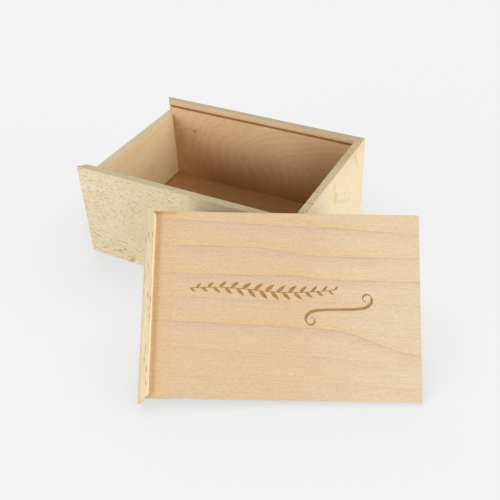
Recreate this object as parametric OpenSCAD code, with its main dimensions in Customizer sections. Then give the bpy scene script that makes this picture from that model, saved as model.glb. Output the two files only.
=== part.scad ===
// Keepsake box with a sliding lid: four mitred beech boards, a panelled floor, and a lid
// that is a thin panel on an end rail. One end wall stops short, so that the lid slides in
// over it, and the rail then fills the place above it. The lid is shown drawn out and
// leaning on the corner of the box at the high end.
// Millimetres. X runs along the box to the high end, Y to the back, Z up. The origin is on
// the surface that the box stands on, at the middle of the front wall's underside.

/* [Box] */
// Outside length, from the low end wall to the high one
box_length = 290; // [200:1:400]
// Outside width, front to back
box_width = 204; // [160:1:300]
// Outside height of the front, back and high end walls
box_height = 127; // [90:1:150]
// Thickness of the wall boards, and of the lid's rail
wall_t = 9.8; // [8:0.1:14]
// How far the low end wall stops below the others
end_drop = 19.2; // [16:0.1:30]
// Chamfer that takes the sharpness off the top edges
edge_ease = 0.6; // [0.2:0.1:1.5]

/* [Floor] */
// Thickness of the floor panel
floor_t = 4; // [3:0.1:8]
// Height of the floor panel's underside above the table
floor_up = 8; // [4:0.5:20]
// Depth of the groove that holds the floor panel
floor_groove_deep = 4.5; // [3:0.1:5]

/* [Lid] */
// Thickness of the lid panel
panel_t = 3.6; // [3:0.1:6]
// Depth of the panel's top face below the top of the walls
panel_down = 5.6; // [4:0.1:9]
// Depth of the groove that the lid slides in
lid_groove_deep = 5.4; // [4:0.1:6]
// How far the panel's end is let into the rail
rail_slot_deep = 5; // [3:0.1:7]

/* [Clearances] */
// Room over and under the lid in its grooves, at its far end, and under its rail
slide_play = 0.3; // [0.1:0.05:0.8]
// Room at each side of the lid, where its wood swells in damp weather
side_room = 1.2; // [0.3:0.1:1.5]
// Room round and over the floor panel in its grooves
floor_play = 0.3; // [0.1:0.05:0.8]
// Gap between the leaning lid and the corner that it leans on
lean_gap = 0.3; // [0.1:0.05:0.8]

/* [Where the lid is] */
// Leaning on the box, or slid home in its grooves
lid_place = "leaning"; // [leaning, closed]
// Turn of the leaning lid's long edge from the box's length, in degrees
lean_turn = 28.3; // [10:0.5:50]
// Distance along the lid, from the rail's outer face, to where the corner bears on it
lean_reach = 157.8; // [80:0.1:220]
// How far the lid's upper edge reaches past that corner
lean_past = 12.4; // [6:0.1:25]

/* [Hidden] */
// The lid panel, from how far its sides and its far end reach into the grooves
side_tongue = lid_groove_deep - side_room;
end_tongue = lid_groove_deep - slide_play;
panel_width = box_width - 2 * wall_t + 2 * side_tongue;
lid_length = box_length - wall_t + end_tongue;
panel_edge = (box_width - panel_width) / 2;
// The rail stands over the panel to the walls' top, and under it to the low wall
rail_deep = end_drop - slide_play;
rail_under = rail_deep - panel_down;
// The three grooves' faces, as heights in the wall
floor_groove_top = floor_up + floor_t + floor_play;
lid_groove_top = box_height - panel_down + slide_play;
lid_groove_low = box_height - panel_down - panel_t - slide_play;

// The leaning lid stands on two corners, the rail's back one and the panel's far back one,
// and its back bears on the box's corner. For a tilt from level, lean_roll is the turn in
// the lid's own plane that brings both corners down to the table.
corner_up = box_height - edge_ease;
function lean_roll(tilt) =
    -asin((rail_under - panel_t) / tan(tilt) / norm([lid_length, panel_edge]))
    - atan2(panel_edge, lid_length);
function lean_step(tilt) =
    asin((corner_up + lean_gap * cos(tilt))
         / (cos(lean_roll(tilt)) * (panel_width - lean_past)
            - sin(lean_roll(tilt)) * (lid_length - lean_reach)));
// Repeated substitution settles the tilt to well under a thousandth of a degree
function lean_tilt(tilt, steps) = steps == 0 ? tilt : lean_tilt(lean_step(tilt), steps - 1);
lid_tilt = lean_tilt(45, 24);
lid_roll = lean_roll(lid_tilt);

beech_face = [0.89, 0.78, 0.62];
beech_edge = [0.86, 0.74, 0.57];
beech_panel = [0.88, 0.75, 0.59];
beech_rail = [0.92, 0.83, 0.67];

// A wall board's section: outer face at 0, inner face at wall_t, with the floor's groove,
// and the lid's groove where the board is full height
module full_section()
    polygon([
        [0, 0], [wall_t, 0],
        [wall_t, floor_up], [wall_t - floor_groove_deep, floor_up],
        [wall_t - floor_groove_deep, floor_groove_top], [wall_t, floor_groove_top],
        [wall_t, lid_groove_low], [wall_t - lid_groove_deep, lid_groove_low],
        [wall_t - lid_groove_deep, lid_groove_top], [wall_t, lid_groove_top],
        [wall_t, box_height - edge_ease], [wall_t - edge_ease, box_height],
        [edge_ease, box_height], [0, box_height - edge_ease],
    ]);

module low_section()
    polygon([
        [0, 0], [wall_t, 0],
        [wall_t, floor_up], [wall_t - floor_groove_deep, floor_up],
        [wall_t - floor_groove_deep, floor_groove_top], [wall_t, floor_groove_top],
        [wall_t, box_height - end_drop], [0, box_height - end_drop],
    ]);

// The rail's section, with the slot for the panel; the panel's top face is at height 0
module rail_section()
    polygon([
        [0, -rail_under], [wall_t, -rail_under],
        [wall_t, -panel_t], [wall_t - rail_slot_deep, -panel_t],
        [wall_t - rail_slot_deep, 0], [wall_t, 0],
        [wall_t, panel_down - edge_ease], [wall_t - edge_ease, panel_down],
        [edge_ease, panel_down], [0, panel_down - edge_ease],
    ]);

// A board along X from 0 to its length, outer face at y = 0, both ends cut at 45 degrees
module mitred_board(board_length)
    intersection() {
        rotate([90, 0, 90]) linear_extrude(board_length) children();
        translate([0, 0, -box_height]) linear_extrude(3 * box_height)
            polygon([[0, 0], [board_length, 0],
                     [board_length - wall_t, wall_t], [wall_t, wall_t]]);
    }

// Takes the lid from its own axes (rail's outer face at x = 0, rail's front end at y = 0,
// panel's top face at z = 0) to where it is
module place_lid()
    if (lid_place == "closed")
        translate([-box_length / 2, -wall_t / 2, box_height - panel_down]) children();
    else
        translate([box_length / 2, -wall_t / 2, corner_up])
            rotate([0, 0, lean_turn]) rotate([lid_tilt, 0, 0]) rotate([0, 0, lid_roll])
                translate([-lean_reach, lean_past + panel_edge - box_width, panel_t + lean_gap])
                    children();

module front_wall()
    color(beech_face)
        translate([-box_length / 2, -wall_t / 2, 0])
            mitred_board(box_length) full_section();

module back_wall()
    color(beech_edge)
        translate([box_length / 2, box_width - wall_t / 2, 0])
            rotate([0, 0, 180]) mitred_board(box_length) full_section();

module low_end_wall()
    color(beech_edge)
        translate([-box_length / 2, box_width - wall_t / 2, 0])
            rotate([0, 0, -90]) mitred_board(box_width) low_section();

module high_end_wall()
    color(beech_rail)
        translate([box_length / 2, -wall_t / 2, 0])
            rotate([0, 0, 90]) mitred_board(box_width) full_section();

// The floor panel lies on the lower faces of its grooves
module floor_panel() {
    reach_in = floor_groove_deep - floor_play;
    floor_length = box_length - 2 * wall_t + 2 * reach_in;
    floor_width = box_width - 2 * wall_t + 2 * reach_in;
    color(beech_panel)
        translate([-floor_length / 2, wall_t / 2 - reach_in, floor_up])
            cube([floor_length, floor_width, floor_t]);
}

module lid_panel()
    color(beech_panel)
        place_lid()
            translate([wall_t - rail_slot_deep, panel_edge, -panel_t])
                cube([lid_length - wall_t + rail_slot_deep, panel_width, panel_t]);

// The rail's ends are cut to the long walls' mitres, so its outer face is as wide as the box
module lid_rail()
    color(beech_rail)
        place_lid()
            translate([0, box_width, 0])
                rotate([0, 0, -90]) mitred_board(box_width) rail_section();

front_wall();
back_wall();
low_end_wall();
high_end_wall();
floor_panel();
lid_panel();
lid_rail();
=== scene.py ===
# %% [markdown]
# A beech keepsake box, its sliding lid drawn out and leaning on one corner.
#
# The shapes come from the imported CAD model, which is loaded as a fixed frame: four mitred
# wall boards, a thin floor panel, and a lid made of a thin panel on an end rail. What is left
# to do here is what a joiner's hands and the tree itself do: soften the sawn edges, burn an
# ornament into the lid, and give each board its own cut of beech.

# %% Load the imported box
import math

import bmesh
import bpy
from mathutils import Matrix, Vector


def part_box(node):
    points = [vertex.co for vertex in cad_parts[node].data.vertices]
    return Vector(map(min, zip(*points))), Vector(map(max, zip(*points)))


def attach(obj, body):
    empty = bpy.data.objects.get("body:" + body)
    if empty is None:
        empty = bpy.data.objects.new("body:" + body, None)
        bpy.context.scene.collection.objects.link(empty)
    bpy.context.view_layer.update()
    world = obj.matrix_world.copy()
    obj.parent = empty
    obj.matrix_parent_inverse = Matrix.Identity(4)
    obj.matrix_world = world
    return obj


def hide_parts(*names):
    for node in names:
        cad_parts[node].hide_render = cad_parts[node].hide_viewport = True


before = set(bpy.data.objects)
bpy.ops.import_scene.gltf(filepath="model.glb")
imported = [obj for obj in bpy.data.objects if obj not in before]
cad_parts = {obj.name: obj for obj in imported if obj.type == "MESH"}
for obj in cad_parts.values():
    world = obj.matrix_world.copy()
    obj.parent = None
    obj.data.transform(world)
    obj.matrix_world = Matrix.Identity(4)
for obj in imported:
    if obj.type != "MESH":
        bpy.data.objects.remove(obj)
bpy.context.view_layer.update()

MM = 0.001

# %% [markdown]
# The camera stands where the photographer stood: about a metre away, in front of the box and
# to its right, looking down at some 37 degrees. Its place and its lens were worked out from
# the box's straight edges. The frame is a square crop that isn't quite centred on the lens,
# so the lens is shifted by a few hundredths of the frame; that keeps every edge in its place
# without turning the camera.

# %% Camera
CAMERA_PLACE = Vector((0.40714, -0.5776, 0.58185))
CAMERA_AHEAD = Vector((-0.3618, 0.70857, -0.60583)).normalized()
CAMERA_RIGHT = Vector((0.89749, 0.44054, -0.02073))
FOCAL_IN_FRAMES = 737.8 / 500  # focal length over the frame's width
LENS_CENTRE = (272.2 / 500, 244.3 / 500)  # across and down, as shares of the frame

camera_data = bpy.data.cameras.new("photo_camera")
camera_data.sensor_fit = "HORIZONTAL"
camera_data.sensor_width = 36.0
camera_data.lens = 36.0 * FOCAL_IN_FRAMES
camera_data.shift_x = 0.5 - LENS_CENTRE[0]
camera_data.shift_y = LENS_CENTRE[1] - 0.5
camera_data.clip_start = 0.01
camera = bpy.data.objects.new("photo_camera", camera_data)
bpy.context.scene.collection.objects.link(camera)
right = (CAMERA_RIGHT - CAMERA_RIGHT.dot(CAMERA_AHEAD) * CAMERA_AHEAD).normalized()
up = right.cross(CAMERA_AHEAD)
turn = Matrix((right, up, -CAMERA_AHEAD)).transposed().to_4x4()
camera.matrix_world = Matrix.Translation(CAMERA_PLACE) @ turn
bpy.context.scene.camera = camera
bpy.context.scene.view_settings.view_transform = "Standard"
print("lens, mm:", round(camera_data.lens, 2))

# %% [markdown]
# A material in Blender is a graph of nodes. Written out link by link, a wood of thirty nodes
# can't be read, so the graph is written here as arithmetic instead. A Wire is one socket's
# output; adding or multiplying wires adds the Math nodes. A Finish is one material being
# built, and its node method makes every other node: the settings first, then the inputs.

# %% Shader arithmetic
class Wire:
    """One output socket. Arithmetic on it adds Math nodes to its material."""

    def __init__(self, graph, socket):
        self.graph, self.socket = graph, socket

    def _math(self, operation, *others, clamp=False):
        inputs = dict(enumerate((self, *others)))
        return self.graph.node(
            "ShaderNodeMath", {"operation": operation, "use_clamp": clamp}, inputs
        )

    def __add__(self, other):
        return self._math("ADD", other)

    def __mul__(self, other):
        return self._math("MULTIPLY", other)

    def __sub__(self, other):
        return self._math("SUBTRACT", other)

    def __truediv__(self, other):
        return self._math("DIVIDE", other)

    def __pow__(self, other):
        return self._math("POWER", other)

    def __rsub__(self, other):
        return self.graph.node(
            "ShaderNodeMath", {"operation": "SUBTRACT"}, {0: other, 1: self}
        )

    __radd__, __rmul__ = __add__, __mul__

    def size(self):
        return self._math("ABSOLUTE")

    def sine(self):
        return self._math("SINE")

    def root(self):
        return self._math("SQRT")

    def fraction(self):
        return self._math("FRACT")

    def clamped(self):
        return self._math("ADD", 0.0, clamp=True)

    def ramp(self, start, end, low=0.0, high=1.0):
        """low before start, high after end, and an S-shaped passage between them."""
        return self.graph.node(
            "ShaderNodeMapRange",
            {"interpolation_type": "SMOOTHSTEP"},
            {"Value": self, "From Min": start, "From Max": end, "To Min": low, "To Max": high},
        )


class Graph:
    """A tree of nodes that is being built."""

    def __init__(self, tree):
        self.tree = tree
        tree.nodes.clear()

    def node(self, kind, settings=None, inputs=None, output=0):
        """Makes a node. Gives back one output as a Wire, or the node if output is None."""
        made = self.tree.nodes.new(kind)
        for key, value in (settings or {}).items():
            setattr(made, key, value)
        for key, value in (inputs or {}).items():
            if isinstance(value, Wire):
                self.tree.links.new(value.socket, made.inputs[key])
            else:
                made.inputs[key].default_value = value
        return made if output is None else Wire(self, made.outputs[output])

    def join(self, x, y, z):
        return self.node("ShaderNodeCombineXYZ", None, {"X": x, "Y": y, "Z": z})

    def dot(self, vector, constant):
        return self.node(
            "ShaderNodeVectorMath",
            {"operation": "DOT_PRODUCT"},
            {0: vector, 1: tuple(constant)},
            output="Value",
        )

    def noise(self, x, y, z, detail=2.0, roughness=0.5):
        """Clouds of values round 0, one cloud to each unit of x, y and z."""
        where = {"Vector": self.join(x, y, z), "Scale": 1.0}
        look = {"Detail": detail, "Roughness": roughness}
        return self.node("ShaderNodeTexNoise", None, where | look, output="Fac") - 0.5

    def mix(self, factor, first, second, blend="MIX"):
        """Mixes two colours, each a wire or a tuple of red, green and blue."""
        full = [(*v, 1.0) if isinstance(v, tuple) else v for v in (first, second)]
        return self.node(
            "ShaderNodeMix",
            {"data_type": "RGBA", "blend_type": blend},
            {0: factor, 6: full[0], 7: full[1]},
            output=2,
        )


class Finish(Graph):
    """The node tree of one material, or of the room's light."""

    def __init__(self, owner):
        owner.use_nodes = True
        super().__init__(owner.node_tree)
        self.owner = owner

    def done(self, shader, kind="ShaderNodeOutputMaterial"):
        self.node(kind, None, {"Surface": shader}, output=None)
        print(self.owner.name, "has", len(self.tree.nodes), "nodes")
        return self.owner


def srgb(red, green, blue):
    """A colour as a picture's 0 to 255 values, turned into the linear values a shader takes."""
    return tuple(
        v / 12.92 if v <= 0.04045 else ((v + 0.055) / 1.055) ** 2.4
        for v in (red / 255, green / 255, blue / 255)
    )


# %% [markdown]
# The box stands on a plain pale floor that runs out of the picture on every side. A real
# studio floor turns white because it is flooded with light, but that much light would wash
# out the wood. So the floor shines by itself, only towards the camera and in reflections. Two
# things darken it there: a little of it is lit by the lamps and so keeps the real shadow, and
# close to the box it sees less of the room, which gives the soft dark rim on the ground. Far
# from the box the lamps' share fades out, or the floor would be too bright under each lamp.

# %% Floor
BACKDROP = srgb(242, 242, 242)
FLOOR_HALF = 9  # metres from the middle to each side
FLOOR_DOWN = 0.0003  # just below the box, so that the two don't lie in one plane
SHADOW_SHARE = 0.05  # how much of the floor's look comes from the lamps' light
FLOOR_LIT = 0.56  # how bright the lit floor is where nothing shades it
RIM_REACH = 0.12  # how far from the box the ground darkens
RIM_DEPTH = 0.36  # how far towards the rim's colour it goes with the whole room hidden
RIM_COLOUR = srgb(96, 84, 66)
LIT_REACH = (1.6, 3.0)  # where the lamps' light on the floor begins and ends to fade, in metres

floor_mesh = bpy.data.meshes.new("floor")
signs = ((-1, -1), (1, -1), (1, 1), (-1, 1))
corners = [(x * FLOOR_HALF, y * FLOOR_HALF, 0) for x, y in signs]
floor_mesh.from_pydata(corners, [], [(0, 1, 2, 3)])
floor = bpy.data.objects.new("floor", floor_mesh)
floor.location.z = -FLOOR_DOWN
bpy.context.scene.collection.objects.link(floor)


def seen_directly(finish):
    """1 on rays from the camera, and on what is mirrored or seen through glass."""
    rays = finish.node("ShaderNodeLightPath", output=None)
    straight, mirrored, through = (
        Wire(finish, rays.outputs[name])
        for name in ("Is Camera Ray", "Is Glossy Ray", "Is Transmission Ray")
    )
    return (straight + mirrored + through).clamped()


pale = Finish(bpy.data.materials.new("pale_floor"))
room_seen = pale.node(
    "ShaderNodeAmbientOcclusion", {"samples": 8}, {"Distance": RIM_REACH}, output="AO"
)
glow = pale.node(
    "ShaderNodeEmission",
    None,
    {
        "Color": pale.mix((1.0 - room_seen) * RIM_DEPTH, BACKDROP, RIM_COLOUR),
        "Strength": 1.0 - SHADOW_SHARE,
    },
    output="Emission",
)
dim = (*(c * SHADOW_SHARE / FLOOR_LIT for c in BACKDROP), 1.0)
shade = pale.node("ShaderNodeBsdfDiffuse", None, {"Color": dim}, output="BSDF")
near_looks = pale.node("ShaderNodeAddShader", None, {0: shade, 1: glow}, output="Shader")
far_looks = pale.node("ShaderNodeEmission", None, {"Color": (*BACKDROP, 1.0)}, output="Emission")
floor_place = pale.node("ShaderNodeTexCoord", output="Object")
x, y = (pale.dot(floor_place, axis) for axis in ((1.0, 0.0, 0.0), (0.0, 1.0, 0.0)))
far_off = (x * x + y * y).root().ramp(*LIT_REACH)
looks = pale.node(
    "ShaderNodeMixShader", None, {0: far_off, 1: near_looks, 2: far_looks}, output="Shader"
)
lit = pale.node("ShaderNodeBsdfDiffuse", None, {"Color": (0.8, 0.8, 0.8, 1.0)}, output="BSDF")
chosen = pale.node(
    "ShaderNodeMixShader", None, {0: seen_directly(pale), 1: lit, 2: looks}, output="Shader"
)
floor_mesh.materials.append(pale.done(chosen))

# %% [markdown]
# The light in the photograph is soft and low. The end of the box that faces right is the
# brightest face, the front is nearly as bright even behind the leaning lid, whatever faces up
# is darker, and the inside is dark. So there are two wide lamps close to the ground: one to
# the right, and one in front and to the left. A third, weaker one lights the back. The room
# round them is dim overhead and paler at the sides, as in a tent of white cloth.

# %% Lamps and room
ROOM_SIDES = 0.28
ROOM_OVERHEAD = 0.21
ROOM_TURN = (0.15, 0.75)  # how steeply one looks up where the sides end and the ceiling begins
LAMPS = {  # which way the lamp stands, and how white it makes a card
    "right_lamp": ((0.964, -0.051, 0.259), 0.78),
    "front_left_lamp": ((-0.362, -0.896, 0.259), 0.69),
    "back_left_lamp": ((-0.70, 0.66, 0.27), 0.30),
}
LAMP_DISTANCE = 6.0
LAMP_WIDTH = 3.2
LIT_PLACE = Vector((0.05, 0.0, 0.08))

sky = Finish(bpy.data.worlds.new("studio"))
height = sky.dot(sky.node("ShaderNodeTexCoord", output="Generated"), (0.0, 0.0, 1.0))
room_level = height.ramp(*ROOM_TURN, ROOM_SIDES, ROOM_OVERHEAD)
room, white = (
    sky.node("ShaderNodeBackground", None, {"Color": (*c, 1.0), "Strength": k}, output="Background")
    for c, k in (((1.0, 1.0, 1.0), room_level), (BACKDROP, 1.0))
)
both = sky.node(
    "ShaderNodeMixShader", None, {0: seen_directly(sky), 1: room, 2: white}, output="Shader"
)
bpy.context.scene.world = sky.done(both, "ShaderNodeOutputWorld")

for name, (towards, level) in LAMPS.items():
    towards = Vector(towards).normalized()
    lamp_data = bpy.data.lights.new(name, "AREA")
    lamp_data.shape, lamp_data.size = "SQUARE", LAMP_WIDTH
    # a lamp's watts over pi squared and its distance squared: the whiteness of a card facing it
    lamp_data.energy = level * math.pi**2 * LAMP_DISTANCE**2
    lamp = bpy.data.objects.new(name, lamp_data)
    bpy.context.scene.collection.objects.link(lamp)
    lamp.location = LIT_PLACE + towards * LAMP_DISTANCE
    lamp.rotation_euler = towards.to_track_quat("Z", "Y").to_euler()
    print(name, "power, W:", round(lamp_data.energy, 1))

# %% [markdown]
# Each board is described by its own three directions: along the grain, across the board, and
# through its thickness. The walls lie along the axes. The lid leans, so its directions are
# read from its panel: a flat board's largest faces give the way through it, and its
# longest edge gives the grain. The rail takes the panel's directions, with along and across
# swapped.

# %% The boards' own directions
class Board:
    """A board's origin and directions, in the row frame, in metres."""

    def __init__(self, origin, along, across):
        self.origin = Vector(origin)
        self.along = Vector(along).normalized()
        self.across = Vector(across).normalized()
        self.through = self.along.cross(self.across)

    def place(self, along_mm, across_mm, through_mm=0.0):
        return self.origin + MM * (
            along_mm * self.along + across_mm * self.across + through_mm * self.through
        )


SAME_POINT = 1e-6  # metres between two corners that are one
SAME_PLANE = math.radians(0.5)


def merged(node_name):
    """A clean copy of a CAD node's mesh: shared corners, and one face to each flat side."""
    work = bmesh.new()
    work.from_mesh(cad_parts[node_name].data)
    bmesh.ops.remove_doubles(work, verts=work.verts, dist=SAME_POINT)
    bmesh.ops.dissolve_limit(
        work, angle_limit=SAME_PLANE, verts=work.verts, edges=work.edges
    )
    work.normal_update()
    return work


def leaning_board(node_name):
    """The directions of a plain panel that isn't along the axes: X along it, Y up its slope."""
    work = merged(node_name)
    edges = sorted(work.edges, key=lambda e: e.calc_length())
    along = edges[-1].verts[1].co - edges[-1].verts[0].co
    along = along if along.x > 0 else -along
    up_face = max(
        (f for f in work.faces if f.normal.z > 0.1), key=lambda f: f.calc_area()
    )
    across = up_face.normal.cross(along)
    diagonal = along.normalized() + across.normalized()
    corner = min((v.co for v in up_face.verts), key=lambda c: c.dot(diagonal)).copy()
    board = Board(corner, along, across)
    size = [
        max((v.co - corner).dot(way) for v in work.verts) / MM
        for way in (board.along, board.across)
    ]
    work.free()
    return board, size


lid_board, (panel_length, panel_width) = leaning_board("lid_panel")
print("lid panel, mm:", round(panel_length, 1), "x", round(panel_width, 1))
print("lid normal:", [round(v, 4) for v in lid_board.through])

boards = {
    "front_wall": Board(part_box("front_wall")[0], (1, 0, 0), (0, 0, 1)),
    "back_wall": Board(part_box("back_wall")[0], (1, 0, 0), (0, 0, 1)),
    "low_end_wall": Board(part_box("low_end_wall")[0], (0, 1, 0), (0, 0, 1)),
    "high_end_wall": Board(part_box("high_end_wall")[0], (0, 1, 0), (0, 0, 1)),
    "floor_panel": Board(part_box("floor_panel")[0], (1, 0, 0), (0, 1, 0)),
    "lid_panel": lid_board,
    "lid_rail": Board(lid_board.origin, lid_board.across, lid_board.along),
}

# %% [markdown]
# Planed beech has crisp edges, but sandpaper rounds each one by a few tenths of a millimetre,
# and that thin round is what catches the light. Only the edges that run along the grain are
# rounded on the walls: at the mitres two boards are glued into one corner, and a round on each
# would open a groove there that the real box doesn't have. The rail is free, so all of its
# edges are rounded. Each node is copied, and the copy stands in for it.

# %% Rounded copies of the boards
EDGE_ROUND = 0.35 * MM
SHARP = math.radians(20)  # an edge that turns less than this is left as it is
WITH_GRAIN = 0.999  # the cosine of the angle between an edge and the grain


def sanded(node_name, free_ends=False):
    """A new object: the node's shape with its long edges rounded, and its ends' too if free."""
    board = boards[node_name]
    work = merged(node_name)
    sharp = []
    for edge in work.edges:
        way = (edge.verts[1].co - edge.verts[0].co).normalized()
        runs_along = abs(way.dot(board.along)) > WITH_GRAIN
        if len(edge.link_faces) == 2 and edge.is_convex and (runs_along or free_ends):
            if edge.calc_face_angle() > SHARP:
                sharp.append(edge)
    bmesh.ops.bevel(
        work,
        geom=sharp,
        offset=EDGE_ROUND,
        segments=2,
        profile=0.6,
        affect="EDGES",
        clamp_overlap=True,
    )
    bmesh.ops.recalc_face_normals(work, faces=work.faces)
    mesh = bpy.data.meshes.new(node_name + "_sanded")
    work.to_mesh(mesh)
    work.free()
    piece = bpy.data.objects.new(node_name + "_sanded", mesh)
    bpy.context.scene.collection.objects.link(piece)
    print(piece.name, "has", len(mesh.polygons), "faces,", len(sharp), "rounded edges")
    return piece


pieces = {name: sanded(name, free_ends=name.startswith("lid_")) for name in boards}

# %% [markdown]
# Beech is pale, close and even, and known by its flecks: thin sheets of ray tissue that run
# out from the tree's heart, which show as short dark dashes where a board is cut along the
# rings. The wood is worked out as a solid: every point of a board knows how far it is from the
# tree's heart, so the arcs on a face and the lines on its edge belong together, as they do in
# a real plank. A year starts with pale wood just after a fine, greyish line, and ends with
# warmer, denser wood just before the next one.
#
# A Beech is a Finish that also knows its board. It starts with one pale colour, and each of
# the functions below lays one more thing over the colour so far: rings, flecks, a stain, a
# cut edge. The last one sands it.

# %% A finish that knows its board
class Beech(Finish):
    """One board's wood. along, across and through are the point's place in it, in mm."""

    def __init__(self, board_name, pale, seed):
        super().__init__(bpy.data.materials.new(board_name + "_beech"))
        board = boards[board_name]
        axes = (board.along, board.across, board.through)
        texture = self.node("ShaderNodeTexCoord", output=None)
        here, facing = (Wire(self, texture.outputs[name]) for name in ("Object", "Normal"))
        start = {0: here, 1: tuple(board.origin)}
        offset = self.node("ShaderNodeVectorMath", {"operation": "SUBTRACT"}, start)
        self.along, self.across, self.through = (self.dot(offset, axis / MM) for axis in axes)
        self.end_on, self.edge_on = (self.dot(facing, axis).size() for axis in axes[:2])
        self.seed, self.colour = seed, srgb(*pale)
        self.fibre = self.grain_noise(4.0, 0.45, detail=2.0, roughness=0.6)
        self.patchy = self.grain_noise(60.0, 22.0, detail=1.0)

    def grain_noise(self, long, wide, detail=2.0, roughness=0.5, offset=0.0):
        """Clouds drawn out along the grain, long and wide in mm."""
        return self.noise(
            self.along / long + (self.seed + offset),
            self.across / wide + offset,
            self.through / wide - self.seed,
            detail,
            roughness,
        )

    def tint(self, mask, share, colour):
        self.colour = self.mix((mask * share).clamped(), self.colour, srgb(*colour))


# %% [markdown]
# A year ring is a tube round the tree's heart, so its mark on a board is wherever the distance
# to the heart is right. The heart may lean, which turns straight lines into arcs, and noise
# bends the tubes a little, or they would look turned on a lathe.

# %% Rings and year lines
def rings(
    wood,
    heart,
    lean,
    spacing,
    line,
    line_depth,
    warm,
    warm_depth,
    wander=(6.0, 4.0),
    uneven=1.3,
):
    """heart is the tree's centre line, across and through from the board's origin in mm, and
    lean is how far that line moves across and through for each mm along the board. A season
    goes from 0, just after the winter's line, to 1, and each year has its own vigour."""
    sideways = wood.across - heart[0] - wood.along * lean[0]
    sideways = sideways + wood.grain_noise(130.0, 55.0) * (wander[0] * 2)
    depth = wood.through - heart[1] - wood.along * lean[1]
    depth = depth + wood.grain_noise(75.0, 38.0, offset=7.3) * (wander[1] * 2)
    radius = (sideways * sideways + depth * depth).root()
    pace = wood.noise(radius / (spacing * 2.7), wood.along / 400 + wood.seed, 0.5, detail=1.0)
    years = radius / spacing + pace * uneven
    season = years.fraction()
    vigour = wood.noise((years - season) * 1.37, wood.seed, 0.5, detail=0.0)
    shown = wood.patchy.ramp(-0.2, 0.12, 0.35, 1.0) * vigour.ramp(-0.18, 0.18, 0.25, 1.0)
    wood.tint(season.ramp(0.45, 0.98), warm_depth, warm)
    winter = season.ramp(0.06, 0.0) * 0.5 + season.ramp(0.38, 0.02) * 0.5
    wood.tint(winter * shown, line_depth, line)


def year_line(wood, at, slope, fall, fall_between, depth, line, below, above):
    """One year's end on a face cut nearly through the rings: a fine line that runs along the
    board, fades out into greyish wood on its lower side, and has warm wood on its upper one."""
    dropped = wood.along.ramp(*fall_between, 0.0, fall)
    wander = wood.grain_noise(130.0, 55.0) * 5.0 + wood.fibre * 1.2
    over = wood.across - at - wood.along * slope + dropped + wander
    shown = wood.patchy.ramp(-0.25, 0.10, 0.6, 1.0)
    depth = wood.along.ramp(140, 290, depth, depth * 0.62)
    wood.tint(over.ramp(9.0, 0.6) * over.ramp(-0.5, 0.8), depth * 0.55, above)
    wood.tint(over.ramp(-13.0, -1.0) * over.ramp(0.6, -0.5), depth * 0.75, below)
    wood.tint(over.ramp(-2.4, -0.4) * over.ramp(0.7, -0.2) * shown, depth * 0.8, line)


# %% [markdown]
# A Voronoi texture drops one point at random into each cell of a grid. Stretched along the
# grain, the places close to a point make a spindle, which is a fleck's shape, and each cell's
# own random colour decides whether it has a fleck at all, and how large.

# %% Flecks
ROW_SHIFT = 0.37  # each row of cells starts this much further on, so that no columns show
CELL_DEEP = 9.0  # mm of a cell through the board
PALE_RIM = (246, 234, 208)


def flecks(
    wood, long, wide, picked, depth, colour, slant=0.0, rim_depth=0.0, on_edges=False
):
    """Spindles in the cells of a stretched grid. long and wide are a cell's size in mm, and
    picked is the share of cells that have one."""
    on_edge = wood.edge_on.ramp(0.55, 0.9)
    across, through = (wood.through, wood.across) if on_edges else (wood.across, wood.through)
    row = (across - wood.along * slant) / wide + wood.seed
    cells = wood.node(
        "ShaderNodeTexVoronoi",
        None,
        {
            "Vector": wood.join(
                wood.along / long + row * ROW_SHIFT + wood.fibre * 0.3,
                row,
                through / CELL_DEEP + wood.seed,
            ),
            "Scale": 1.0,
            "Randomness": 0.95,
        },
        output=None,
    )
    luck = wood.node(
        "ShaderNodeSeparateColor", None, {"Color": Wire(wood, cells.outputs["Color"])}, output=None
    )
    here = on_edge if on_edges else 1.0 - on_edge
    here = here * Wire(wood, luck.outputs["Red"]).ramp(1.0 - picked, 1.2 - picked)
    reach = Wire(wood, cells.outputs["Distance"]) / (Wire(wood, luck.outputs["Green"]) * 0.4 + 0.7)
    if rim_depth:
        wood.tint(reach.ramp(0.62, 0.40) * here, rim_depth, PALE_RIM)
    wood.tint(reach.ramp(0.44, 0.16) * here, depth, colour)


# %% [markdown]
# What is left are marks that belong to one place on one board: a knot, a crack, stretches of
# other wood and patches of painted light and shade, and the edges: where the saw has cut
# across the grain the wood looks darker, and the faces inside the grooves are painted darker
# as shade.

# %% Patches, stains and edges
ALL = (None, None)
FACE_SOFT = 0.4  # mm over which a finish passes from one face of a board into the next


def between(place, low, high, soft):
    """1 between two values of a place, with soft sides. None leaves a side open."""
    mask = 1.0
    if low is not None:
        mask = place.ramp(low - soft, low + soft) * mask
    if high is not None:
        mask = place.ramp(high + soft, high - soft) * mask
    return mask


def patch(wood, share, colour, along=ALL, across=ALL, through=ALL, soft=0.0):
    """A stretch of another colour between two places each way: other wood, and also painted light
    and shade.
    """
    mask = between(wood.along, *along, soft) * between(wood.across, *across, soft)
    wood.tint(between(wood.through, *through, FACE_SOFT) * mask, share, colour)


def stain(wood, centre, half_long, half_wide, turn_degrees, share, colour, through=ALL):
    """A soft, slightly frayed oval on the face."""
    c, s = math.cos(math.radians(turn_degrees)), math.sin(math.radians(turn_degrees))
    u = wood.along + wood.fibre * 4.0 - centre[0]
    v = wood.across + wood.fibre * 2.5 - centre[1]
    u, v = (u * c + v * s) / half_long, (v * c - u * s) / half_wide
    mask = (u * u + v * v).ramp(1.6, 0.3)
    wood.tint(between(wood.through, *through, FACE_SOFT) * mask, share, colour)


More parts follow.
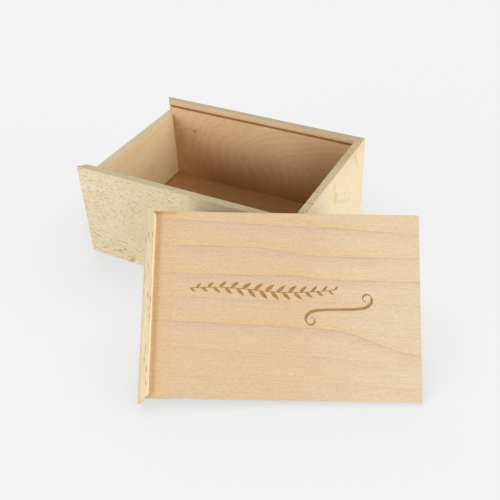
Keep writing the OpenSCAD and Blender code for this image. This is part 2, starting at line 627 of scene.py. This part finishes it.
def cut_edges(wood, top, tint, groove=(186, 140, 94), end=(190, 162, 122)):
    """The narrow edges: the top one, the faces inside the grooves, and the cut ends. top is
    the top edge's height in mm, and the three colours are for the three kinds of edge. The
    groove colour is painted shade, darker because little light gets into a groove; on the lid
    panel, which has no top edge, it colours the panel's side edges."""
    on_edge = wood.edge_on.ramp(0.55, 0.9)
    at_top = wood.across.ramp(top - 1.8, top - 0.8)
    wood.tint(on_edge * at_top, 0.9, tint)
    # painted shade inside the grooves; on the lid panel, the colour of its side edges
    wood.tint(on_edge * (1.0 - at_top), 0.75, groove)
    wood.tint(wood.end_on.ramp(0.30, 0.72), 0.6, end)


# %% [markdown]
# Last comes what the hand feels: fibres half a millimetre wide and a few long. They change the
# tone a little and the surface by a tenth of a millimetre, too little to model, so a bump map
# is right for them.

# %% Sanding
FIBRE_DEEP = 0.1 * MM
WOOD_SHINE = 0.3  # how much a sanded, unvarnished board mirrors


def sand(wood, fibre=0.26, streak=0.08, cloud=0.06, rough=0.60):
    """The last coat: fine fibres, streaks and clouds in the tone, and the sanded surface."""
    streaks = wood.grain_noise(34.0, 1.2, offset=3.1)
    clouds = wood.grain_noise(50.0, 28.0, offset=5.7)
    tone = wood.fibre * (fibre * 2) + streaks * (streak * 2) + clouds * (cloud * 2)
    # darker fibres are also redder, so the tone takes more off the green and the blue
    tones = wood.join(1.0 + tone * 0.8, 1.0 + tone * 1.1, 1.0 + tone * 1.6)
    colour = wood.mix(1.0, wood.colour, tones, blend="MULTIPLY")
    relief = {"Strength": 0.4, "Distance": FIBRE_DEEP, "Height": wood.fibre}
    bump = wood.node("ShaderNodeBump", None, relief, output="Normal")
    surface = {
        "Base Color": colour,
        "Roughness": rough + wood.fibre * 0.15,
        "Normal": bump,
        "Specular IOR Level": WOOD_SHINE,
    }
    return wood.done(wood.node("ShaderNodeBsdfPrincipled", None, surface, output="BSDF"))


# %% [markdown]
# The near long wall is cut along the rays' sheets, so it is full of flecks. Two sizes of them
# lie over each other: small pale-rimmed ones close together, and fewer, longer, darker ones. A
# few scorch marks from the saw are left near its foot. They could be painted on a picture, but
# a mark that is worked out from its place in the board stays sharp at any size.

# %% Front wall
materials = {}
WALL_TOP = 127.0
FRONT_SIDE, BACK_SIDE = (-1.5, None), (None, -8.0)  # of a long wall, through it
SCORCH = (200, 152, 76)
SCORCH_TURN = 12

wood = Beech("front_wall", (229, 213, 180), seed=1.7)
rings(
    wood, heart=(60, -120), lean=(-0.06, 0.08), spacing=6.5,
    line=(208, 188, 150), line_depth=0.35, warm=(226, 203, 160), warm_depth=0.45,
)
flecks(
    wood, long=7.2, wide=1.20, slant=-0.21, picked=0.95, depth=0.75, colour=(180, 152, 104),
    rim_depth=0.75,
)
flecks(wood, long=9.0, wide=1.45, slant=-0.18, picked=0.55, depth=0.80, colour=(142, 112, 68))
patch(wood, 0.55, (230, 208, 168), through=BACK_SIDE)
for centre, half_long, half_wide, share in (
    ((44, 14), 3.6, 2.0, 0.80), ((52, 18), 3.0, 1.6, 0.80), ((61, 4.5), 4.0, 2.4, 0.90),
    ((36, 12), 3.0, 1.4, 0.70), ((18, 11), 3.0, 1.4, 0.70), ((64, 9), 2.6, 1.4, 0.60),
    ((22, 13), 2.0, 1.2, 0.50), ((56, 8), 3.0, 1.2, 0.55), ((30, 9), 2.2, 1.0, 0.45),
):
    stain(wood, centre, half_long, half_wide, SCORCH_TURN, share, SCORCH, through=FRONT_SIDE)
# painted shade of the leaning lid: darker towards the top of the right-hand part
patch(wood, 0.25, (200, 180, 142), along=(70, None), across=(30, None), soft=30.0)
patch(wood, 0.25, (214, 200, 162), across=(122, None), soft=2.0)
cut_edges(wood, WALL_TOP, (232, 211, 166))
flecks(wood, long=4.0, wide=1.6, picked=0.55, depth=0.40, colour=(150, 130, 88), on_edges=True)
materials["front_wall"] = sand(wood, streak=0.13)

# %% [markdown]
# The far long wall is cut across the rings' curve, so its inside shows wide arcs that open
# towards the high end, and a small knot near the low one. The arcs aren't drawn: the tree's
# heart is set to lean away behind the board, and the rings then meet its face in arcs. Its
# inside is painted browner than its outer side, as painted shade of the box's inside, darker
# still towards the bottom and the high end, and paler in the upper middle as painted light.

# %% Back wall
wood = Beech("back_wall", (222, 189, 145), seed=4.1)
rings(
    wood, heart=(56, -119), lean=(0.0, 0.45), spacing=6.5,
    line=(166, 118, 74), line_depth=0.30, warm=(208, 160, 108), warm_depth=0.34,
    wander=(15.0, 12.0), uneven=1.9,
)
# painted shade inside the box: darker towards the bottom and the high end; painted light: paler in
# the upper middle
patch(wood, 0.58, (160, 106, 50), along=(50, None), across=(None, 60), soft=40.0)
patch(wood, 0.62, (142, 98, 54), along=(220, None), across=(None, 118), soft=50.0)
patch(wood, 0.30, (244, 208, 160), along=(70, 190), across=(75, 112), soft=30.0)
# the outer side, out of the box's shade, is set back towards the board's own pale wood
patch(wood, 0.60, (234, 211, 171), through=BACK_SIDE)
stain(wood, (44, 87), 2.6, 1.3, 20, 0.75, (140, 100, 62))
stain(wood, (44, 88), 7.0, 4.0, 10, 0.25, (176, 128, 82))
patch(wood, 0.45, (218, 198, 156), across=(120.5, None), soft=1.2)
cut_edges(wood, WALL_TOP, (222, 204, 170))
flecks(wood, long=4.0, wide=1.6, picked=0.50, depth=0.35, colour=(150, 132, 90), on_edges=True)
materials["back_wall"] = sand(wood, streak=0.06)

# %% [markdown]
# The low end wall stops short, so that the lid can slide in over it. Its inside is seen from
# above: quiet wood with faint flecks, a paler top, and at its foot a dark line of painted
# shade, where the floor panel goes into its groove and no light gets in.

# %% Low end wall
LOW_WALL_TOP = 107.8
LOW_WALL_INSIDE = (9.2, None)
# where the painted shade at the floor joint lies, across the board, in mm
FLOOR_JOINT_SHADE = (10.0, 13.3)

wood = Beech("low_end_wall", (240, 215, 170), seed=6.4)
rings(
    wood, heart=(40, 160), lean=(0.08, 0.02), spacing=9.0,
    line=(204, 166, 118), line_depth=0.25, warm=(228, 192, 140), warm_depth=0.35,
)
flecks(wood, long=7.0, wide=2.2, slant=0.06, picked=0.30, depth=0.20, colour=(168, 130, 86))
patch(wood, 0.5, (222, 208, 176), across=(105.5, None), soft=1.2)
# painted shade: a dark line at the foot, where no light gets into the floor's groove
patch(wood, 0.85, (88, 56, 30), across=FLOOR_JOINT_SHADE, through=LOW_WALL_INSIDE, soft=0.4)
cut_edges(wood, LOW_WALL_TOP, (238, 222, 188))
materials["low_end_wall"] = sand(wood)

# %% [markdown]
# The high end wall is the palest board. Years ago a twig began on it: an ochre spot is left,
# with an arc above it and a tail that runs down to the right. A few such ovals laid over each
# other, long and thin or short and wide, make all of it. Across its flecked top edge runs one
# short crack.

# %% High end wall
OCHRE, GREY_LINE = (224, 180, 116), (206, 176, 138)
CRACK = (42.2, 43.2)
TOP_EDGE = (126.0, None)

wood = Beech("high_end_wall", (238, 220, 183), seed=9.2)
rings(
    wood, heart=(50, -140), lean=(0.0, 0.80), spacing=15.0,
    line=(228, 202, 158), line_depth=0.14, warm=(234, 208, 164), warm_depth=0.30,
    wander=(14.0, 12.0),
)
for centre, half_long, half_wide, turn_degrees, share, colour in (
    ((109, 94), 9.0, 7.0, 70, 0.50, OCHRE), ((104.5, 110), 12.0, 2.2, 97, 0.34, OCHRE),
    ((126, 80), 18.0, 2.8, -30, 0.34, OCHRE), ((151, 67), 14.0, 2.4, -20, 0.30, OCHRE),
    ((174, 111), 18.0, 2.2, -60, 0.42, GREY_LINE), ((168, 121), 7.0, 3.0, -50, 0.40, OCHRE),
    ((140, 84), 4.5, 2.8, 10, 0.25, GREY_LINE), ((60, 40), 26.0, 1.8, -35, 0.25, OCHRE),
    ((114, 102), 5.0, 3.5, 60, 0.35, (250, 236, 206)),
):
    stain(wood, centre, half_long, half_wide, turn_degrees, share, colour)
patch(wood, 0.20, (226, 208, 164), across=(122, None), soft=2.0)
cut_edges(wood, WALL_TOP, (250, 224, 172))
patch(wood, 0.38, (204, 170, 116), along=(110, None), across=TOP_EDGE, soft=40.0)
patch(wood, 0.30, (255, 236, 186), along=(None, 60), across=TOP_EDGE, soft=20.0)
patch(wood, 0.75, (120, 92, 58), along=CRACK, across=TOP_EDGE, soft=0.25)
flecks(wood, long=4.2, wide=1.5, picked=0.85, depth=0.80, colour=(146, 116, 70), on_edges=True)
materials["high_end_wall"] = sand(wood, fibre=0.18)

# %% [markdown]
# The floor panel is a thinner, browner sheet, and lies in the box's own shade. Its colour is
# also painted darker and warmer than the walls', as painted shade and warm bounce light of
# the box's inside. Rings that pass almost level through it give it broad, soft bands.

# %% Floor panel
# base colour: partly the sheet's own brown, partly painted shade of the box's inside
wood = Beech("floor_panel", (208, 162, 110), seed=12.9)
rings(
    wood, heart=(90, -170), lean=(0.02, 0.04), spacing=9.0,
    line=(164, 116, 76), line_depth=0.35, warm=(202, 154, 104), warm_depth=0.45,
)
materials["floor_panel"] = sand(wood)

# %% [markdown]
# The lid's panel is cut straight through the rings, so its years are long, nearly level lines.
# Their places are what one knows this board by, so each is set one by one instead of left to
# the ring pattern. Its right-hand side is painted paler, as painted light from the lamp on the
# right. Next to the rail is a darker, more orange strip: partly wood that the sander didn't
# reach, and partly painted shade of the rail with the warm light that the rail throws back.
# At the panel's two tongues it turns a darker orange.

# %% Lid panel
RAIL_SIDE, TONGUE = 4.8, 5.6  # from the lid's own corner to the panel's
YEAR_LOOKS = dict(line=(208, 172, 134), below=(214, 184, 158), above=(230, 190, 136))
STRAIGHT = (0.0, (0, 1))  # no fall, and so nowhere that it falls between
NO_TOP = 400.0  # a height that the panel doesn't reach, so none of its edges is a top one

wood = Beech("lid_panel", (221, 191, 153), seed=15.3)
# painted light: paler towards the right-hand end, where the lamp on the right falls
patch(wood, 0.75, (230, 206, 173), along=(195, None), soft=62.0)
for at, slope, (fall, fall_between), depth in (
    (191.6, -0.047, STRAIGHT, 0.7), (162.5, 0.0, (9.2, (100, 185)), 0.8),
    (133.3, 0.0, (5.0, (138, 200)), 0.8), (110.0, -0.025, STRAIGHT, 0.45),
    (85.0, -0.040, (22.0, (185, 285)), 0.9), (60.0, -0.060, STRAIGHT, 0.35),
    (33.0, -0.050, STRAIGHT, 0.35),
):
    year_line(wood, at - TONGUE, slope, fall, fall_between, depth, **YEAR_LOOKS)
# next to the rail: partly unsanded wood, partly painted shade of the rail and its warm bounce light
patch(wood, 0.50, (221, 186, 140), along=(None, 22), soft=2.0)
patch(wood, 0.65, (224, 181, 132), along=(None, 11.5), soft=2.4)
patch(wood, 0.40, (224, 178, 118), along=(22.8, 25.0), soft=1.0)
patch(wood, 0.9, (214, 166, 104), along=(4, 26), across=(189.2, None), soft=0.4)
patch(wood, 0.6, (214, 172, 114), along=(4, 17), across=(None, 3.6), soft=0.4)
cut_edges(wood, NO_TOP, (226, 196, 158), groove=(216, 182, 140), end=(206, 172, 130))
materials["lid_panel"] = sand(wood, fibre=0.30, streak=0.10, cloud=0.02)

# %% [markdown]
# The rail is a strip with close rings and long, thin flecks down its length. It is darker on
# its outer side, and along the edge next to the panel it has a pale painted highlight, where
# that edge faces the lamp on the right.

# %% Lid rail
wood = Beech("lid_rail", (230, 211, 174), seed=18.8)
rings(
    wood, heart=(-30, 60), lean=(0.03, 0.01), spacing=3.0,
    line=(196, 168, 122), line_depth=0.45, warm=(224, 198, 152), warm_depth=0.45,
)
flecks(wood, long=12.0, wide=1.6, slant=0.05, picked=0.70, depth=0.65, colour=(156, 126, 84))
patch(wood, 0.35, (204, 182, 142), across=(None, -2.4), soft=0.8)
# painted highlight along the inner edge, next to the panel
patch(wood, 0.55, (250, 234, 202), across=(4.0, None), soft=0.4)
materials["lid_rail"] = sand(wood, fibre=0.22, streak=0.15)

# %% [markdown]
# The lid carries an ornament: a sprig of small leaves with a scroll below its right-hand end.
# On the real thing such an ornament is burnt in by a laser, which takes off under half a
# millimetre and leaves a flat, brown floor with crisp sides. A bump map would lose the shadow
# in it, so it is really cut, with a Boolean.
#
# The sprig repeats one leaf along a stem, and that is what Geometry Nodes are for. The stem is
# a curve; the tree sets a point every few millimetres along it, puts a leaf on each, turned to
# the left and to the right by turns, and makes the leaves smaller towards both ends.

# %% The leafy sprig, in Geometry Nodes
ENGRAVED_DEEP = 0.45  # mm
ABOVE = 0.6  # mm that the cutter stands over the lid


def sprig_tree():
    """The tree of nodes that grows leaves along a stem. Its sizes are in mm."""
    tree = bpy.data.node_groups.new("sprig", "GeometryNodeTree")
    interface = tree.interface
    interface.new_socket("Stem", in_out="INPUT", socket_type="NodeSocketGeometry")
    for name, value in (
        ("Leaf Spacing", 5.9), ("Leaf Length", 12.2), ("Leaf Width", 4.0), ("Leaf Angle", 0.70),
        ("Stem Width", 0.85), ("Cut Height", ENGRAVED_DEEP + ABOVE), ("Smallest Leaf", 0.5),
    ):
        made = interface.new_socket(name, in_out="INPUT", socket_type="NodeSocketFloat")
        made.default_value = value
    interface.new_socket("Burnt Wood", in_out="INPUT", socket_type="NodeSocketMaterial")
    interface.new_socket("Sprig", in_out="OUTPUT", socket_type="NodeSocketGeometry")
    sprig = Graph(tree)
    node = sprig.node
    given = node("NodeGroupInput", output=None)
    get = {socket.name: Wire(sprig, socket) for socket in given.outputs if socket.name}

    # one leaf: a strip of squares from 0 to 1, widened in the middle, then made thick
    strip = node(
        "GeometryNodeMeshGrid",
        None,
        {"Size X": 1.0, "Size Y": 1.0, "Vertices X": 13, "Vertices Y": 2},
        "Mesh",
    )
    place = node("GeometryNodeInputPosition")
    x, y = sprig.dot(place, (1.0, 0.0, 0.0)) + 0.5, sprig.dot(place, (0.0, 1.0, 0.0))
    width = ((x.clamped() ** 0.8) * math.pi).sine() * get["Leaf Width"]
    outline = sprig.join(x * get["Leaf Length"], y * width, 0.0)
    flat = node("GeometryNodeSetPosition", None, {"Geometry": strip, "Position": outline})
    flat = node("GeometryNodeMergeByDistance", None, {"Geometry": flat, "Distance": 0.02})
    raised = node(
        "GeometryNodeExtrudeMesh",
        {"mode": "FACES"},
        {
            "Mesh": flat,
            "Offset": sprig.join(0.0, 0.0, 1.0),
            "Offset Scale": get["Cut Height"],
            "Individual": False,
        },
        "Mesh",
    )
    under = node("GeometryNodeFlipFaces", None, {"Mesh": flat})
    both_sides = node("GeometryNodeJoinGeometry", output=None)
    for part in (raised, under):
        tree.links.new(part.socket, both_sides.inputs[0])
    leaf = node(
        "GeometryNodeMergeByDistance",
        None,
        {"Geometry": Wire(sprig, both_sides.outputs[0]), "Distance": 0.001},
    )

    # a point for each leaf, its turn, and its size
    points = node(
        "GeometryNodeCurveToPoints",
        {"mode": "LENGTH"},
        {"Curve": get["Stem"], "Length": get["Leaf Spacing"]},
        None,
    )
    count = node(
        "GeometryNodeAttributeDomainSize",
        {"component": "POINTCLOUD"},
        {"Geometry": Wire(sprig, points.outputs["Points"])},
        "Point Count",
    )
    number = node("GeometryNodeInputIndex")
    side = (number * 0.5).fraction() * 4.0 - 1.0
    lie = node(
        "FunctionNodeAlignRotationToVector",
        {"axis": "X"},
        {"Vector": Wire(sprig, points.outputs["Tangent"])},
    )
    spread = node(
        "FunctionNodeAxisAngleToRotation",
        None,
        {"Axis": (0.0, 0.0, 1.0), "Angle": side * get["Leaf Angle"]},
    )
    turned = node(
        "FunctionNodeRotateRotation",
        {"rotation_space": "LOCAL"},
        {"Rotation": lie, "Rotate By": spread},
    )
    arch = (((number + 0.5) / count) * math.pi).sine()
    size = get["Smallest Leaf"] + arch * (1.0 - get["Smallest Leaf"])
    leaves = node(
        "GeometryNodeInstanceOnPoints",
        None,
        {
            "Points": Wire(sprig, points.outputs["Points"]),
            "Instance": leaf,
            "Rotation": turned,
            "Scale": sprig.join(size, size, 1.0),
        },
    )

    # the stem itself: the curve with a small rectangle drawn along it
    bar = node(
        "GeometryNodeCurvePrimitiveQuadrilateral",
        {"mode": "RECTANGLE"},
        {"Width": get["Stem Width"], "Height": get["Cut Height"]},
    )
    level = node("GeometryNodeSetCurveNormal", {"mode": "Z_UP"}, {"Curve": get["Stem"]})
    rise = sprig.join(0.0, 0.0, get["Cut Height"] * 0.5)
    level = node("GeometryNodeTransform", None, {"Geometry": level, "Translation": rise})
    drawn = {"Curve": level, "Profile Curve": bar, "Fill Caps": True}
    stem = node("GeometryNodeCurveToMesh", None, drawn)
    all_parts = node("GeometryNodeJoinGeometry", output=None)
    for part in (leaves, stem):
        tree.links.new(part.socket, all_parts.inputs[0])
    joined = Wire(sprig, all_parts.outputs[0])
    real = node("GeometryNodeRealizeInstances", None, {"Geometry": joined})
    burnt = node("GeometryNodeSetMaterial", None, {"Geometry": real, "Material": get["Burnt Wood"]})
    node("NodeGroupOutput", None, {"Sprig": burnt}, output=None)
    return tree


sprig_group = sprig_tree()
print("sprig tree has", len(sprig_group.nodes), "nodes")

# %% [markdown]
# The scroll is one pen stroke: nearly straight in the middle and winding tighter towards each
# end. It is drawn by adding short steps, each turned a little more than the last, and its
# width follows the slant of a broad nib, so it swells and thins as it turns.

# %% The scroll
def scroll_path(
    half_length=59.0, straight=20.0, bend=0.0045, winding=0.0080, tightest=0.60, step=0.5
):
    """Places and directions along the stroke, from one end to the other, in mm. The turn is
    bend, in radians for each mm, and past straight it grows by winding with each mm."""
    x = y = heading = 0.0
    half = [(x, y, heading)]
    for number in range(int(half_length / step)):
        gone = (number + 0.5) * step
        heading += min(bend + max(0.0, gone - straight) * winding, tightest) * step
        x, y = x + math.cos(heading) * step, y + math.sin(heading) * step
        half.append((x, y, heading))
    return [(-x, -y, heading) for x, y, heading in reversed(half[1:])] + half


def ribbon(path, centre, thin=0.45, broad=1.20, nib_degrees=-50.0):
    """The two sides of the stroke, each a list of x and y."""
    left, right = [], []
    for number, (x, y, heading) in enumerate(path):
        share = number / (len(path) - 1)
        half_width = thin + broad * abs(math.sin(heading - math.radians(nib_degrees)))
        half_width *= min(1.0, 0.25 + 4.0 * min(share, 1.0 - share))
        sideways = (-math.sin(heading) * half_width, math.cos(heading) * half_width)
        left.append((centre[0] + x + sideways[0], centre[1] + y + sideways[1]))
        right.append((centre[0] + x - sideways[0], centre[1] + y - sideways[1]))
    return left, right


def add_prism(work, left, right, height):
    """A closed band between two lines of points, from 0 up to height."""
    sections = [
        [work.verts.new(corner) for corner in ((*a, 0.0), (*b, 0.0), (*b, height), (*a, height))]
        for a, b in zip(left, right)
    ]
    for one, two in zip(sections, sections[1:]):
        for k in range(4):
            work.faces.new((one[k], one[(k + 1) % 4], two[(k + 1) % 4], two[k]))
    work.faces.new(sections[0][::-1])
    work.faces.new(sections[-1])


# %% [markdown]
# Where the laser has been, the wood is brown and matt, and darker where the beam lingered. Its
# fibres still show, because hard and soft wood char differently. So this finish reads the same
# directions as the lid's, and blends two browns by a fine noise and a coarse one.

# %% Burnt wood
LEAST_CHARRED, MOST_CHARRED = srgb(196, 154, 100), srgb(152, 110, 60)
BURNT_SHINE = 0.2

burnt = Finish(bpy.data.materials.new("burnt_beech"))
texture = burnt.node("ShaderNodeTexCoord", output=None)
here = Wire(burnt, texture.outputs["Object"])
lid_axes = (lid_board.along, lid_board.across, lid_board.through)
u, v, w = (burnt.dot(here, axis / MM) for axis in lid_axes)
fibre = burnt.noise(u / 5.0, v / 0.8, w / 0.8, detail=3.0, roughness=0.65)
scorch = burnt.noise(u / 9.0, v / 5.0, w / 5.0, detail=2.0)
char = (0.45 + fibre * 0.9 + scorch * 0.8).clamped()
char_relief = {"Strength": 0.6, "Distance": FIBRE_DEEP, "Height": fibre}
burnt_bump = burnt.node("ShaderNodeBump", None, char_relief, output="Normal")
burnt_beech = burnt.done(
    burnt.node(
        "ShaderNodeBsdfPrincipled",
        None,
        {
            "Base Color": burnt.mix(char, LEAST_CHARRED, MOST_CHARRED),
            "Roughness": 0.75 + fibre * 0.2,
            "Normal": burnt_bump,
            "Specular IOR Level": BURNT_SHINE,
        },
        output="BSDF",
    )
)

# %% [markdown]
# Both shapes are drawn flat, in the lid's own millimetres from its corner, then turned and
# moved onto the lid's face and sunk into it. They become one cutter of burnt wood.

# %% The ornament's cutter
SPRIG_START, SPRIG_END, SPRIG_HEIGHT, SPRIG_WAVE = 48.0, 196.0, 117.0, 2.2
STEM_STEPS = 60
SCROLL_CENTRE = (201.0, 98.0)


def set_input(modifier, name, value):
    """Sets a modifier's input by its socket's identifier, found from its name."""
    for item in modifier.node_group.interface.items_tree:
        if item.item_type == "SOCKET" and item.in_out == "INPUT" and item.name == name:
            modifier[item.identifier] = value


def finished_mesh(thing):
    """A plain mesh of an object as its modifiers leave it."""
    bpy.context.view_layer.update()
    depsgraph = bpy.context.evaluated_depsgraph_get()
    return bpy.data.meshes.new_from_object(thing.evaluated_get(depsgraph))


stem_data = bpy.data.curves.new("sprig_stem", "CURVE")
stem_data.dimensions = "3D"
stem_line = stem_data.splines.new("POLY")
stem_line.points.add(STEM_STEPS)
for number, point in enumerate(stem_line.points):
    share = number / STEM_STEPS
    wave = SPRIG_WAVE * math.sin(2 * math.pi * share + 0.4)
    point.co = (SPRIG_START + (SPRIG_END - SPRIG_START) * share, SPRIG_HEIGHT + wave, 0.0, 1.0)
stem = bpy.data.objects.new("sprig_stem", stem_data)
bpy.context.scene.collection.objects.link(stem)
grow = stem.modifiers.new("sprig", "NODES")
grow.node_group = sprig_group
set_input(grow, "Burnt Wood", burnt_beech)

cutter_work = bmesh.new()
cutter_work.from_mesh(finished_mesh(stem))
for word, extreme in (("from", min), ("to", max)):
    reach = [round(extreme(v.co[k] for v in cutter_work.verts), 2) for k in range(3)]
    print("sprig", word, "mm:", reach)
add_prism(cutter_work, *ribbon(scroll_path(), SCROLL_CENTRE), ENGRAVED_DEEP + ABOVE)
bmesh.ops.recalc_face_normals(cutter_work, faces=cutter_work.faces)
onto_lid = Matrix(lid_axes).transposed().to_4x4()
start = lid_board.place(-RAIL_SIDE, -TONGUE, -ENGRAVED_DEEP)
cutter_work.transform(Matrix.Translation(start) @ onto_lid @ Matrix.Scale(MM, 4))
cutter_mesh = bpy.data.meshes.new("ornament_cutter")
cutter_work.to_mesh(cutter_mesh)
cutter_work.free()
cutter_mesh.materials.append(burnt_beech)
cutter = bpy.data.objects.new("ornament_cutter", cutter_mesh)
bpy.context.scene.collection.objects.link(cutter)

# %% [markdown]
# Each piece now gets its board's wood. Then the ornament is cut into the lid: a Boolean takes
# the cutter away from it, and its TRANSFER mode takes the burnt wood over onto the new faces.

# %% Give each board its wood, and cut the ornament
for name, piece in pieces.items():
    piece.data.materials.append(materials[name])

lid_piece = pieces["lid_panel"]
engrave = lid_piece.modifiers.new("ornament", "BOOLEAN")
engrave.operation, engrave.object = "DIFFERENCE", cutter
engrave.solver, engrave.use_self, engrave.material_mode = "EXACT", True, "TRANSFER"
engraved = finished_mesh(lid_piece)
lid_piece.modifiers.clear()
lid_piece.data = engraved
engraved.name = "lid_panel_engraved"
for used in (stem, cutter):
    bpy.data.objects.remove(used)
print("lid panel has", len(engraved.polygons), "faces and", [m.name for m in engraved.materials])

# %% [markdown]
# Every piece now rides on the body that carries it, and stands in for its CAD node, which
# stays behind in the physics model.

# %% Hand the pieces over
for name, piece in pieces.items():
    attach(piece, "lid" if name.startswith("lid_") else "box")
    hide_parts(name)
